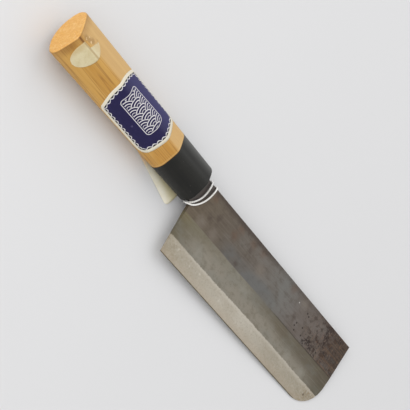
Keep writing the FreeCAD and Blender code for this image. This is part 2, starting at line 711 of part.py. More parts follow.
def least_gap(wire, diameter):
    """Least gap of the cord to itself, between points at least a few diameters apart along it."""
    step = diameter / 4
    points = wire.discretize(Distance=step)
    apart = int(4 * diameter / step)
    pairs = [(i, j) for i in range(len(points)) for j in range(i + apart, len(points))]
    return min((points[i] - points[j]).Length for i, j in pairs) - diameter


def make_cord():
    """White cord as one unbroken tube, and its knot."""
    diameter = size("Sizes.cord_diameter")
    path, ring, radii, knot_centre = cord_path()
    tube = path.makePipeShell([ring], True, False)
    wanted = math.pi * diameter ** 2 / 4 * path.Length
    print("cord length %.1f, volume share %.4f" % (path.Length, tube.Volume / wanted))
    print("cord radii", ["%.1f" % radius for radius in radii])
    print("cord least gap to itself %.2f" % least_gap(path, diameter))
    bead = Part.makeSphere(size("Sizes.cord_knot_radius"), knot_centre)
    knot = single_solid(bead.cut(tube))
    return [add_piece("neck_cord", tube), add_piece("cord_knot", knot)]


def lay_down(pieces):
    """Set the settled knife on the table, with the middle of its box over the origin."""
    doc.recompute()
    box = FreeCAD.BoundBox()
    for piece in pieces:
        box.add(piece.Shape.optimalBoundingBox(False, False))
    for axis, value in (("x", -box.Center.x), ("y", -box.Center.y), ("z", -box.ZMin)):
        sheet.set(sheet.getCellFromAlias("rest_" + axis), str(value))
    doc.recompute()


def check_document(pieces):
    """Stop if anything in the document failed or a piece has no sound shape."""
    for item in doc.Objects:
        if "Invalid" in item.State or "Error" in item.State:
            raise RuntimeError("%s failed: %s" % (item.Label, item.State))
    for piece in pieces:
        if piece.Shape.isNull() or not piece.Shape.isValid() or len(piece.Shape.Solids) != 1:
            raise RuntimeError("%s has no sound solid" % piece.Label)


def write_parts(pieces):
    """One file for each piece, named after it."""
    os.makedirs("parts", exist_ok=True)
    for piece in pieces:
        piece.Shape.exportStep(os.path.join("parts", piece.Label + ".step"))


pieces = make_blade()
pieces += [make_handle(), make_ferrule(), make_seal()]
pieces += [make_front_label(), make_oval_sticker(), make_back_label()]
pieces += make_cord()
lay_down(pieces)
check_document(pieces)
write_parts(pieces)
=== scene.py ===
"""Looks of a nakiri vegetable knife: forged blade, wooden handle, papers, neck cord, and the stage."""

import bisect
import json
import math
from functools import partial

import bmesh
import bpy
from bpy.props import FloatProperty, FloatVectorProperty, PointerProperty
from bpy.types import Operator, Panel, PropertyGroup
from mathutils import Matrix, Vector
from mathutils.bvhtree import BVHTree


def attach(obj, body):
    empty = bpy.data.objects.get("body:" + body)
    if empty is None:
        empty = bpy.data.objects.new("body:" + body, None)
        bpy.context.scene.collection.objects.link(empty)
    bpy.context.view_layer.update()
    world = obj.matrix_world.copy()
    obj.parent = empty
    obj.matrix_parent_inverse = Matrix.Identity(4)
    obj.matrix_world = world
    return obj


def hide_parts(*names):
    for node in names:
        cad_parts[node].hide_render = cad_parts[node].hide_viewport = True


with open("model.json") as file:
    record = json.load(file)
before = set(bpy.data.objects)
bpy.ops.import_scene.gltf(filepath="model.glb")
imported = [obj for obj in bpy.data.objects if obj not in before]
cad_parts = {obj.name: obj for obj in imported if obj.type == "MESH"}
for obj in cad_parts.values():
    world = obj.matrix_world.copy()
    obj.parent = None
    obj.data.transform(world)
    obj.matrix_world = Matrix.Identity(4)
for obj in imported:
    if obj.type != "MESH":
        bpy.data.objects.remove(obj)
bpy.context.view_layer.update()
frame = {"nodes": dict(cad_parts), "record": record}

bl_info = {
    "name": "Nakiri knife",
    "version": (1, 0, 0),
    "blender": (4, 5, 0),
    "location": "View3D > Sidebar > Knife",
    "description": "Finishes, labels, cord and stage for a nakiri vegetable knife",
    "category": "Object",
}

MM = 0.001
HANDLE_LENGTH = 126.0
FERRULE_LENGTH = 30.0
UV_MILLIMETRES = 100.0


def tint(red, green, blue):
    """Linear colour of a paint chart's 0 to 255 values."""
    def linear(value):
        share = value / 255
        return share / 12.92 if share <= 0.04045 else ((share + 0.055) / 1.055) ** 2.4
    return linear(red), linear(green), linear(blue)


def colour(name, description, red, green, blue):
    return FloatVectorProperty(name=name, description=description, subtype="COLOR", size=3, min=0.0, max=1.0,
                               default=tint(red, green, blue))


def length(name, description, millimetres):
    return FloatProperty(name=name, description=description, subtype="DISTANCE", unit="LENGTH",
                         default=millimetres * MM)


def knife_matrix():
    """The knife's own axes in the row frame: x to the tip, y to the spine, z out of the right face."""
    mounts = {mount["name"]: mount for mount in frame["record"]["mounts"]}
    out = Vector(mounts["right_flat"]["axis"]).normalized()
    forward = -Vector(mounts["butt_end"]["axis"]).normalized()
    across = out.cross(forward)
    origin = Vector(mounts["butt_end"]["pos_m"]) + forward * HANDLE_LENGTH * MM
    return Matrix.Translation(origin) @ Matrix((forward, across, out)).transposed().to_4x4()


KNIFE = knife_matrix()
KNIFE_TURN = KNIFE.to_3x3()
KNIFE_BACK = KNIFE.inverted()


def place(x, y, z):
    """Row frame point of a place given in knife millimetres."""
    return KNIFE @ (Vector((x, y, z)) * MM)


class BladeLook(PropertyGroup):
    # Painted shade: the neck colour stands for the shade of the ferrule and the cord on the blade's neck.
    neck: colour("Neck", "Dark scale between the ferrule and the cord", 80, 75, 72)
    brown: colour("Brown patina", "Flat near the neck", 103, 92, 77)
    grey: colour("Grey patina", "Worn flat at mid length", 115, 114, 110)
    spine: colour("Spine", "Dark band along the spine", 72, 62, 56)
    rust: colour("Rust", "Rust towards the tip", 58, 45, 39)
    bevel: colour("Bevel", "Ground soft iron below the flat", 140, 134, 122)
    edge: colour("Edge", "Bright core steel along the edge", 169, 162, 147)


class HandleLook(PropertyGroup):
    wood: colour("Wood", "Body of the wood", 203, 158, 84)
    grain: colour("Grain", "Darker bands of the grain", 189, 139, 63)
    line: colour("Grain lines", "Thin lines of the grain", 150, 104, 52)
    end_grain: colour("End grain", "Butt of the handle", 227, 174, 93)
    ferrule: colour("Ferrule", "Satin black ferrule", 27, 27, 24)
    resin: colour("Resin", "Seal round the tang", 46, 34, 26)


class PaperLook(PropertyGroup):
    field: colour("Label field", "Navy ground of the front label", 30, 25, 68)
    # Painted sheen: the navy ground as it shows lighter and greyer on the spine side.
    field_sheen: colour("Faded field", "Navy ground where it has faded", 52, 50, 98)
    border: colour("Border", "Cream border of the front label", 232, 226, 208)
    cream: colour("Cream paper", "Paper of the oval sticker", 215, 202, 163)
    strip: colour("Strip paper", "Paper of the loose strip", 252, 247, 228)
    thickness: length("Paper thickness", "Thickness of the papers", 0.16)
    border_width: length("Border width", "Bare border round the front label", 2.1)


class CordLook(PropertyGroup):
    cotton: colour("Cotton", "White cord round the neck", 250, 249, 247)
    diameter: length("Cord diameter", "Diameter of the cord", 1.1)
    pitch: length("Twist pitch", "Length of one turn of the strands", 3.6)


class StageLook(PropertyGroup):
    floor: colour("Floor", "Pale floor", 222, 222, 223)


class KnifeLook(PropertyGroup):
    blade: PointerProperty(type=BladeLook, name="Blade", description="Finish of the blade")
    handle: PointerProperty(type=HandleLook, name="Handle", description="Finish of the handle")
    paper: PointerProperty(type=PaperLook, name="Papers", description="Papers on the handle")
    cord: PointerProperty(type=CordLook, name="Cord", description="Cord round the neck")
    stage: PointerProperty(type=StageLook, name="Stage", description="Floor under the knife")


class Finish:
    """A node material whose pattern is laid out in knife millimetres or in a piece's own UV map."""

    def __init__(self, name, constants):
        self.material = bpy.data.materials.new(name)
        self.material.use_nodes = True
        self.tree = self.material.node_tree
        self.shader = self.tree.nodes["Principled BSDF"]
        for socket, value in constants.items():
            self.shader.inputs[socket].default_value = value

    def node(self, kind, inputs=(), **settings):
        made = self.tree.nodes.new(kind)
        for name, value in settings.items():
            setattr(made, name, value)
        for socket, value in dict(inputs).items():
            self.feed(made.inputs[socket], value)
        return made

    def feed(self, socket, value):
        """Links a socket's value, or sets a plain one."""
        if isinstance(value, bpy.types.NodeSocket):
            self.tree.links.new(value, socket)
        elif socket.type == "RGBA":
            socket.default_value = (*value[:3], 1.0)
        else:
            socket.default_value = value

    def knife(self):
        """Object coordinates carried to the knife's axes, in millimetres."""
        inputs = {
            "Vector": self.node("ShaderNodeTexCoord").outputs["Object"],
            "Location": KNIFE.to_translation(),
            "Rotation": KNIFE.to_quaternion().to_euler(),
            "Scale": (MM, MM, MM),
        }
        return self.node("ShaderNodeMapping", inputs, vector_type="TEXTURE").outputs[0]

    def paper(self):
        """The piece's UV map, in millimetres of flat paper."""
        coordinates = self.node("ShaderNodeTexCoord").outputs["UV"]
        return self.stretch(coordinates, (UV_MILLIMETRES, UV_MILLIMETRES, 0.0))

    def stretch(self, vector, factors):
        return self.node("ShaderNodeVectorMath", {0: vector, 1: factors}, operation="MULTIPLY").outputs[0]

    def axes(self, vector):
        return self.node("ShaderNodeSeparateXYZ", {0: vector}).outputs

    def vector(self, operation, first, second):
        made = self.node("ShaderNodeVectorMath", {0: first, 1: second}, operation=operation)
        return made.outputs["Value" if operation == "DISTANCE" else "Vector"]

    def torn(self, vector, scale, detail, reach):
        """Coordinates shifted at random within a reach, for ragged outlines."""
        drift = self.node("ShaderNodeTexNoise", {"Vector": vector, "Scale": scale, "Detail": detail})
        shifted = self.vector("ADD", vector, self.stretch(drift.outputs["Color"], (reach, reach, 0.0)))
        return self.vector("SUBTRACT", shifted, (reach / 2, reach / 2, 0.0))

    def math(self, operation, first, second=0.0):
        return self.node("ShaderNodeMath", {0: first, 1: second}, operation=operation).outputs[0]

    def plus(self, first, second):
        return self.math("ADD", first, second)

    def minus(self, first, second):
        return self.math("SUBTRACT", first, second)

    def times(self, first, second):
        return self.math("MULTIPLY", first, second)

    def hypotenuse(self, first, second):
        return self.math("SQRT", self.plus(self.times(first, first), self.times(second, second)))

    def rounded(self, first, second, corner):
        """Distance inside two borders that meet in a round corner."""
        over = [self.math("MAXIMUM", self.minus(corner, gap), 0.0) for gap in (first, second)]
        nearest = self.math("MAXIMUM", self.math("MINIMUM", first, second), corner)
        return self.minus(nearest, self.hypotenuse(*over))

    def step(self, value, low, high):
        """Smooth step from 0 at low to 1 at high."""
        return self.node("ShaderNodeMapRange", {"Value": value, "From Min": low, "From Max": high},
                         interpolation_type="SMOOTHSTEP").outputs["Result"]

    def inside(self, value, low, high, soft):
        """1 between low and high, fading over a soft margin."""
        rise = self.step(value, low - soft, low + soft)
        return self.times(rise, self.step(value, high + soft, high - soft))

    def scale(self, value, low, high):
        """A share from 0 to 1 carried to low and high."""
        inputs = {"Value": value, "To Min": low, "To Max": high}
        return self.node("ShaderNodeMapRange", inputs).outputs["Result"]

    def noise(self, vector, detail, roughness):
        inputs = {"Vector": vector, "Scale": 1.0, "Detail": detail, "Roughness": roughness}
        return self.node("ShaderNodeTexNoise", inputs).outputs["Fac"]

    def pattern(self, vector, factors, detail, roughness):
        """Noise drawn out by its own factor along each axis."""
        return self.noise(self.stretch(vector, factors), detail, roughness)

    def ramp(self, value, *stops):
        """Colour that changes along a value, through stops of place and colour."""
        low, high = stops[0][0], stops[-1][0]
        inputs = {"Value": value, "From Min": low, "From Max": high}
        share = self.node("ShaderNodeMapRange", inputs).outputs["Result"]
        made = self.node("ShaderNodeValToRGB", {"Fac": share})
        elements = made.color_ramp.elements
        elements.remove(elements[1])
        for index, (stop, shade) in enumerate(stops):
            position = (stop - low) / (high - low)
            element = elements.new(position) if index else elements[0]
            element.position = position
            element.color = (*shade[:3], 1.0)
        return made.outputs["Color"]

    def blot(self, vector, places, size, soft=0.5):
        """1 within spots of one size about a few places, fading over a share of the size."""
        found = 0.0
        for spot in places:
            gap = self.vector("DISTANCE", vector, (*spot, 0.0))
            found = self.math("MAXIMUM", found, self.step(gap, size, size * (1 - soft)))
        return found

    def mix(self, share, first, second):
        made = self.node("ShaderNodeMix", data_type="RGBA")
        self.feed(made.inputs[0], share)
        self.feed(made.inputs[6], first)
        self.feed(made.inputs[7], second)
        return made.outputs[2]

    def tone(self, base, where, strength, shade):
        """A base colour taken towards a shade, where a mask says so."""
        return self.mix(self.times(where, strength), base, shade)

    def layers(self, base, *rows):
        """Lays soft layers on a base colour: value, where it begins and is whole, strength, shade."""
        for value, begin, whole, strength, shade in rows:
            base = self.tone(base, self.step(value, begin, whole), strength, shade)
        return base

    def bump(self, height, strength, distance):
        """Relief of the surface, its distance in millimetres."""
        inputs = {"Height": height, "Strength": strength, "Distance": distance * MM}
        self.shade("Normal", self.node("ShaderNodeBump", inputs).outputs[0])

    def shade(self, socket, value):
        self.feed(self.shader.inputs[socket], value)


def dress(node, material):
    """Gives a carried-over node of the frame its material."""
    slots = frame["nodes"][node].data.materials
    for index in range(len(slots)):
        slots[index] = material


class BladeMarks:
    """Spots on the blade, as places along and across it in knife millimetres."""
    warm = (17.0, 3.5), (44.0, -3.0), (46.0, 3.0), (60.0, 3.0), (70.0, 4.0), (106.0, 4.5)
    dark = (27.5, -3.5), (22.0, -8.0), (60.0, -2.0), (56.5, -14.5), (118.0, -8.0)
    rubbed = (18.0, -14.0), (30.0, -14.0), (75.0, -5.0), (120.0, 4.0), (149.0, -15.0)
    rust = ((135.5, -14.0), (139.0, -12.0), (143.0, -13.5), (149.0, 4.0), (150.5, 0.0), (152.0, -5.0),
            (155.5, -10.0), (163.0, 5.0))
    pits = ((122.6, -9.3), (126.3, 0.4), (128.4, -0.5), (122.0, -11.6), (123.7, -13.9), (129.0, -8.6),
            (138.8, -11.5), (149.5, -12.8), (131.0, -13.0), (142.5, -14.0))
    glint = ((115.5, 1.0),)
    bevel_pale = (76.0, -20.3), (72.0, -21.0), (31.0, -28.0), (131.0, -28.0), (149.0, -29.0)
    core_pale = (16.8, -35.5), (39.4, -36.0), (30.0, -37.5), (62.0, -38.0), (96.0, -36.0)
    core_tip = ((160.5, -37.5),)


class BladeLines:
    """Heights across the blade in knife millimetres: where a finish begins, and where it is whole."""
    spine = 2.4, 6.8
    grind, grind_faded = (-16.5, -17.2), (-14.0, -20.0)
    bevel_low = -18.0, -27.0
    core, core_rim = (-32.2, -32.9), (-35.5, -32.6)
    # The edge pair marks where the painted shade along the cutting edge begins and where it is whole.
    edge_warm, edge = (-37.0, -43.5), (-43.7, -44.2)


class BladePattern:
    """Places in knife millimetres, noise and marks that the layers of the blade share."""

    def __init__(self, finish):
        spot = finish.knife()
        self.x, self.y = finish.axes(spot)[:2]
        self.flat = finish.stretch(spot, (1.0, 1.0, 0.0))
        self.torn = finish.torn(self.flat, 0.4, 4.0, 4.0)
        self.cloud = finish.pattern(self.flat, (0.045, 0.08, 1.0), 4.0, 0.55)
        self.mottle = finish.pattern(self.flat, (0.2, 0.24, 1.0), 6.0, 0.68)
        self.speckle = finish.pattern(self.flat, (0.75, 0.8, 1.0), 4.0, 0.65)
        self.brushed = finish.pattern(self.flat, (0.04, 1.1, 1.0), 5.0, 0.65)
        self.smear = finish.pattern(self.flat, (0.75, 0.22, 1.0), 4.0, 0.6)
        self.wander = finish.pattern(self.flat, (0.028, 0.0, 1.0), 3.0, 0.5)
        self.pits = finish.blot(self.flat, BladeMarks.pits, 0.8)
        rusty = finish.blot(self.torn, BladeMarks.rust, 3.6, 0.7)
        self.rust = finish.times(rusty, finish.step(self.speckle, 0.4, 0.56))


def forged_skin(finish, look, blade):
    """Patina of the flat: brown by the neck, grey at mid length, rusty and pitted towards the tip; painted
    shade on the neck.
    """
    x, y, cloud, mottle, brushed = blade.x, blade.y, blade.cloud, blade.mottle, blade.brushed
    skin = finish.ramp(x, (10.0, look.brown), (48.0, tint(101, 93, 84)), (76.0, tint(114, 109, 103)),
                       (98.0, look.grey), (120.0, tint(113, 106, 101)), (138.0, tint(106, 97, 91)),
                       (152.0, tint(88, 77, 71)), (168.0, tint(62, 53, 46)))
    skin = finish.layers(
        skin,
        (cloud, 0.42, 0.66, 0.4, tint(92, 82, 72)),
        (cloud, 0.5, 0.3, 0.4, tint(116, 113, 108)),
        (mottle, 0.48, 0.66, 0.35, tint(78, 67, 57)),
        (brushed, 0.5, 0.66, 0.24, tint(126, 118, 109)),
        (brushed, 0.48, 0.34, 0.22, tint(78, 69, 61)))
    slate = finish.times(finish.inside(x, 42.0, 96.0, 8.0), finish.inside(y, -19.0, -9.0, 3.0))
    slate_strength = finish.scale(finish.step(cloud, 0.6, 0.4), 0.3, 0.6)
    skin = finish.tone(skin, slate, slate_strength, tint(100, 102, 102))
    for places, size, strength, shade in (
            (BladeMarks.warm, 5.0, 0.4, tint(104, 78, 62)),
            (BladeMarks.dark, 3.4, 0.5, tint(72, 60, 54)),
            (BladeMarks.rubbed, 6.5, 0.5, tint(128, 119, 109))):
        skin = finish.tone(skin, finish.blot(blade.torn, places, size, 0.95), strength, shade)
    spine = finish.step(finish.plus(y, finish.scale(mottle, -2.5, 2.5)), *BladeLines.spine)
    spine_strength = finish.scale(finish.inside(x, 84.0, 142.0, 10.0), 0.75, 0.35)
    skin = finish.tone(skin, spine, spine_strength, look.spine)

    old = finish.step(finish.plus(x, finish.scale(cloud, -14.0, 14.0)), 122.0, 150.0)
    for noise, begin, whole, strength, shade in (
            (mottle, 0.46, 0.34, 0.6, tint(112, 97, 91)),
            (mottle, 0.52, 0.59, 0.85, look.rust),
            (blade.speckle, 0.55, 0.62, 0.7, tint(54, 40, 33)),
            (blade.smear, 0.52, 0.66, 0.5, tint(120, 97, 80)),
            (blade.smear, 0.46, 0.34, 0.5, tint(60, 48, 42))):
        skin = finish.tone(skin, old, finish.times(finish.step(noise, begin, whole), strength), shade)
    skin = finish.tone(skin, blade.rust, 0.95, tint(46, 36, 33))
    browned = finish.times(finish.step(x, 148.0, 158.0), finish.step(brushed, 0.46, 0.6))
    skin = finish.tone(skin, browned, 0.5, tint(102, 78, 58))
    skin = finish.tone(skin, blade.pits, 0.85, tint(44, 35, 32))
    skin = finish.tone(skin, finish.blot(blade.flat, BladeMarks.glint, 0.5), 0.8, tint(214, 212, 208))

    # Painted shade: the neck, out to the cord's outer strand, takes the darker neck colour where the ferrule
    # and the cord shade it.
    bow = finish.times(finish.math("POWER", finish.minus(7.0, y), 2.0), 0.024)
    neck = finish.mix(finish.step(mottle, 0.4, 0.65), look.neck, tint(86, 79, 75))
    return finish.mix(finish.step(finish.plus(x, bow), 14.0, 12.4), skin, neck)


def ground_bevel(finish, look, blade):
    """Ground soft iron, darker under the flat than above the core."""
    x = blade.x
    high = finish.ramp(x, (6.0, tint(112, 103, 78)), (16.0, tint(114, 108, 90)), (34.0, tint(124, 117, 102)),
                       (64.0, tint(133, 129, 117)), (86.0, tint(116, 111, 99)), (112.0, tint(106, 98, 84)),
                       (172.0, tint(93, 85, 72)))
    low = finish.ramp(x, (6.0, tint(102, 95, 77)), (28.0, look.bevel), (146.0, look.bevel),
                      (168.0, tint(92, 86, 72)))
    lowered = finish.plus(blade.y, finish.times(finish.step(x, 98.0, 126.0), 3.0))
    bevel = finish.mix(finish.step(lowered, *BladeLines.bevel_low), high, low)
    bevel = finish.layers(
        bevel,
        (blade.cloud, 0.45, 0.66, 0.35, tint(126, 126, 118)),
        (blade.mottle, 0.46, 0.64, 0.4, tint(106, 99, 82)),
        (blade.brushed, 0.5, 0.7, 0.2, tint(156, 151, 138)),
        (blade.speckle, 0.55, 0.7, 0.25, tint(92, 85, 70)))
    pale = finish.blot(blade.torn, BladeMarks.bevel_pale, 5.0, 0.95)
    return finish.tone(bevel, pale, 0.35, tint(150, 148, 138))


def cladding_body(finish, look, blade):
    """Flat and bevel on both sides of the grind line, which fades at mid length and is scored beyond it."""
    grind = finish.plus(blade.y, finish.scale(blade.wander, -0.5, 0.5))
    crisp = finish.step(grind, *BladeLines.grind)
    brushed_over = finish.plus(grind, finish.scale(blade.brushed, -2.6, 2.6))
    faded = finish.step(brushed_over, *BladeLines.grind_faded)
    fading = finish.inside(blade.x, 86.0, 98.0, 11.0)
    ground = finish.plus(finish.times(fading, faded), finish.times(finish.minus(1.0, fading), crisp))
    body = finish.mix(ground, forged_skin(finish, look, blade), ground_bevel(finish, look, blade))
    begin, whole = BladeLines.grind
    scored = finish.times(finish.inside(grind, whole, begin, 0.3), finish.step(blade.x, 92.0, 112.0))
    return finish.tone(body, scored, finish.scale(blade.speckle, 0.3, 0.9), tint(58, 50, 42))


def core_height(finish, blade):
    """Height across the blade less the rise of the core's ragged line, which climbs and falls again."""
    ragged = finish.plus(finish.scale(blade.wander, -0.5, 0.5), finish.scale(blade.mottle, -0.6, 0.6))
    ragged = finish.plus(ragged, finish.scale(blade.speckle, -0.6, 0.6))
    climb = finish.minus(finish.times(finish.step(blade.x, 16.0, 112.0), 0.8),
                         finish.times(finish.step(blade.x, 128.0, 140.0), 0.35))
    return finish.minus(finish.plus(blade.y, ragged), climb)


def core_steel(finish, look, blade, height):
    """Bright core steel, palest under its line and in a few spots, with brown specks."""
    x, speckle = blade.x, blade.speckle
    steel = finish.ramp(x, (6.0, tint(152, 142, 122)), (26.0, tint(170, 163, 148)),
                        (84.0, tint(192, 186, 173)), (118.0, look.edge), (166.0, tint(160, 152, 135)))
    rim_strength = finish.scale(finish.step(x, 8.0, 36.0), 0.2, 0.55)
    steel = finish.layers(
        steel,
        (blade.mottle, 0.36, 0.68, 0.5, tint(184, 176, 161)),
        (blade.cloud, 0.42, 0.64, 0.3, tint(160, 150, 132)),
        (height, *BladeLines.core_rim, rim_strength, tint(200, 194, 182)))
    pale = finish.blot(blade.torn, BladeMarks.core_pale, 1.4, 0.95)
    steel = finish.tone(steel, pale, 0.45, tint(210, 205, 193))
    steel = finish.layers(
        steel,
        (speckle, 0.52, 0.68, 0.4, tint(140, 126, 104)),
        (speckle, 0.46, 0.32, 0.35, tint(198, 191, 178)),
        (blade.y, *BladeLines.edge_warm, 0.2, tint(182, 162, 136)))
    worn = finish.times(finish.step(x, 152.0, 164.0), finish.step(speckle, 0.42, 0.6))
    steel = finish.tone(steel, worn, 0.4, tint(140, 116, 78))
    steel = finish.tone(steel, finish.blot(blade.flat, BladeMarks.core_tip, 1.0), 0.8, tint(100, 88, 70))
    # Painted shade: a thin dark line along the cutting edge.
    return finish.mix(finish.step(blade.y, *BladeLines.edge), steel, tint(96, 84, 66))


def blade_finish(look):
    """Forged skin on the flat, ground soft iron below it, and the bright core along the edge."""
    finish = Finish("forged_blade", {"Metallic": 0.65})
    blade = BladePattern(finish)
    height = core_height(finish, blade)
    bright = finish.step(height, *BladeLines.core)
    body = cladding_body(finish, look, blade)
    shine = finish.mix(bright, body, core_steel(finish, look, blade, height))
    finish.shade("Base Color", finish.stretch(shine, (1.07, 1.065, 1.065)))
    rough = finish.plus(finish.scale(bright, 0.48, 0.38), finish.scale(blade.mottle, -0.1, 0.1))
    finish.shade("Roughness", rough)
    relief = finish.plus(finish.times(blade.brushed, 0.4), finish.times(blade.mottle, 0.8))
    eaten = finish.times(finish.math("MAXIMUM", blade.pits, blade.rust), 0.6)
    finish.bump(finish.minus(relief, eaten), 0.3, 0.08)
    return finish.material


class StickerRest:
    """What the torn sticker left on the wood beside the ridge, as places in knife millimetres."""
    glue = (-119.0, 1.2), (-116.6, 2.4), (-121.4, 0.4)
    flecks = (-121.3, 0.2), (-117.2, 0.9), (-119.6, 2.6)


def end_grain(finish, look, spot):
    """Open end grain of the butt, with coarse fibres."""
    grains = finish.pattern(spot, (1.0, 1.5, 1.5), 3.0, 0.7)
    rings = finish.pattern(spot, (0.1, 0.7, 0.16), 3.0, 0.6)
    coarse = finish.pattern(spot, (0.3, 0.55, 0.55), 4.0, 0.75)
    butt = finish.mix(finish.step(grains, 0.42, 0.66), look.end_grain, tint(213, 157, 82))
    return finish.layers(
        butt,
        (rings, 0.48, 0.66, 0.4, tint(231, 190, 124)),
        (coarse, 0.5, 0.62, 0.5, tint(213, 152, 84)),
        (coarse, 0.47, 0.36, 0.5, tint(238, 195, 142)))


def wood_finish(look):
    """Pale wood with long grain, open end grain at the butt and a torn sticker's rest beside the ridge;
    painted sheen on the spine side, painted shade by the butt and in the ferrule's seam, and a painted
    highlight on the wood's edge at the seam.
    """
    finish = Finish("pale_wood", {"Specular IOR Level": 0.3})
    spot = finish.knife()
    x, y, z = finish.axes(spot)
    butt, joint = -HANDLE_LENGTH, -FERRULE_LENGTH
    bent = finish.pattern(spot, (0.012, 0.05, 0.05), 2.0, 0.5)
    sideways = finish.node("ShaderNodeCombineXYZ", {1: bent}).outputs[0]
    upwards = finish.node("ShaderNodeCombineXYZ", {2: bent}).outputs[0]
    bands = finish.noise(finish.vector("ADD", finish.stretch(spot, (0.006, 0.2, 0.2)), sideways), 3.0, 0.55)
    lines = finish.noise(finish.vector("ADD", finish.stretch(spot, (0.003, 0.21, 0.21)), upwards), 2.0, 0.5)
    fine = finish.pattern(spot, (0.03, 2.4, 2.4), 3.0, 0.6)
    pores = finish.pattern(spot, (0.1, 5.0, 5.0), 1.0, 0.5)

    body = finish.mix(finish.step(bands, 0.36, 0.66), look.wood, look.grain)
    body = finish.layers(
        body,
        # Painted sheen: paler wood on the spine side.
        (y, -1.5, 1.5, 0.6, tint(216, 182, 128)),
        # Painted shade: darker wood towards the butt.
        (x, butt + 7.0, butt + 1.0, 0.4, tint(158, 110, 52)))
    # Painted shade: darker still on the edge-side flank near the butt.
    butt_flank_shade = finish.times(finish.step(x, butt + 7.0, butt + 2.5), finish.inside(y, -13.0, -6.5, 2.0))
    body = finish.tone(body, butt_flank_shade, 0.5, tint(136, 92, 40))
    # Darker and browner on the edge side towards the ferrule.
    edge_side_near_ferrule = finish.times(finish.step(x, joint - 18.0, joint - 4.0), finish.step(y, 1.0, -2.0))
    body = finish.tone(body, edge_side_near_ferrule, 0.4, tint(182, 127, 52))
    thin = finish.math("MAXIMUM", finish.inside(lines, 0.475, 0.49, 0.016),
                       finish.inside(lines, 0.565, 0.575, 0.014))
    body = finish.tone(body, thin, finish.scale(finish.step(y, 2.0, -2.0), 0.15, 0.9), look.line)
    ridge = finish.times(finish.inside(y, -3.5, -2.2, 0.3), finish.step(x, butt + 9.0, butt + 5.0))
    body = finish.tone(body, ridge, finish.scale(fine, 0.7, 1.0), tint(112, 68, 22))
    body = finish.layers(
        body,
        (fine, 0.46, 0.7, 0.18, tint(220, 180, 114)),
        (pores, 0.6, 0.72, 0.2, look.line))

    flat = finish.stretch(spot, (1.0, 1.0, 0.0))
    right_face = finish.step(z, 4.0, 7.0)
    glue = finish.times(finish.blot(flat, StickerRest.glue, 2.6, 0.7), right_face)
    body = finish.tone(body, glue, finish.scale(fine, 0.3, 0.8), tint(150, 112, 64))
    flecks = finish.blot(finish.torn(flat, 1.1, 3.0, 2.4), StickerRest.flecks, 0.65, 0.5)
    body = finish.tone(body, flecks, right_face, tint(224, 198, 154))

    # Painted shade: a dark band along the butt's eased rim.
    body = finish.tone(body, finish.inside(x, butt + 0.7, butt + 1.1, 0.3), 0.5, tint(146, 98, 46))
    body = finish.mix(finish.step(x, butt + 0.6, butt + 0.2), body, end_grain(finish, look, spot))
    # Painted highlight: a pale line where the wood's rounded edge meets the ferrule.
    body = finish.tone(body, finish.inside(x, joint - 1.2, joint - 0.4, 0.3), 0.3, tint(222, 184, 120))
    # Painted shade: a dark line in the seam between the wood and the ferrule.
    body = finish.mix(finish.step(x, joint - 0.3, joint), body, tint(70, 48, 30))
    finish.shade("Base Color", body)
    finish.shade("Roughness", finish.scale(bands, 0.44, 0.6))
    finish.bump(finish.plus(finish.times(fine, 0.6), finish.times(pores, 0.5)), 0.25, 0.08)
    return finish.material


def ferrule_finish(look):
    """Satin black ferrule with faint lengthwise streaks and a few pale specks, painted sheen towards the
    spine side and painted shade on the edge-side flank.
    """
    finish = Finish("black_ferrule", {"Specular IOR Level": 0.27})
    spot = finish.knife()
    across = finish.axes(spot)[1]
    streak = finish.pattern(spot, (0.06, 0.7, 0.7), 4.0, 0.6)
    cloud = finish.pattern(spot, (0.12, 0.2, 0.2), 3.0, 0.6)
    specks = finish.pattern(spot, (2.2, 2.2, 2.2), 1.0, 0.4)
    body = finish.mix(finish.step(streak, 0.35, 0.7), look.ferrule, tint(32, 31, 28))
    body = finish.layers(
        body,
        (cloud, 0.45, 0.7, 0.4, tint(20, 20, 18)),
        # Painted sheen: much lighter towards the spine side.
        (across, 4.0, 13.0, 0.9, tint(96, 96, 94)))
    # Painted shade on the edge-side flank, then a lighter band about the ridge.
    body = finish.tone(body, finish.inside(across, -9.5, -6.0, 2.0), 0.4, tint(12, 12, 11))
    body = finish.tone(body, finish.inside(across, -3.5, 3.0, 2.0), 0.2, tint(58, 58, 55))
    body = finish.layers(
        body,
        # Lighter along the lower edge on the edge side.
        (across, -10.5, -13.0, 0.25, tint(58, 58, 54)),
        (specks, 0.74, 0.8, 0.4, tint(140, 136, 130)))
    finish.shade("Base Color", body)
    finish.shade("Roughness", finish.scale(streak, 0.4, 0.56))
    finish.bump(streak, 0.15, 0.05)
    return finish.material


def resin_finish(look):
    """Dark resin that seals the tang."""
    finish = Finish("dark_resin", {"Roughness": 0.3})
    cloud = finish.pattern(finish.knife(), (0.8, 0.8, 0.8), 3.0, 0.6)
    finish.shade("Base Color", finish.mix(finish.step(cloud, 0.35, 0.7), look.resin, tint(72, 56, 42)))
    finish.bump(cloud, 0.4, 0.1)
    return finish.material


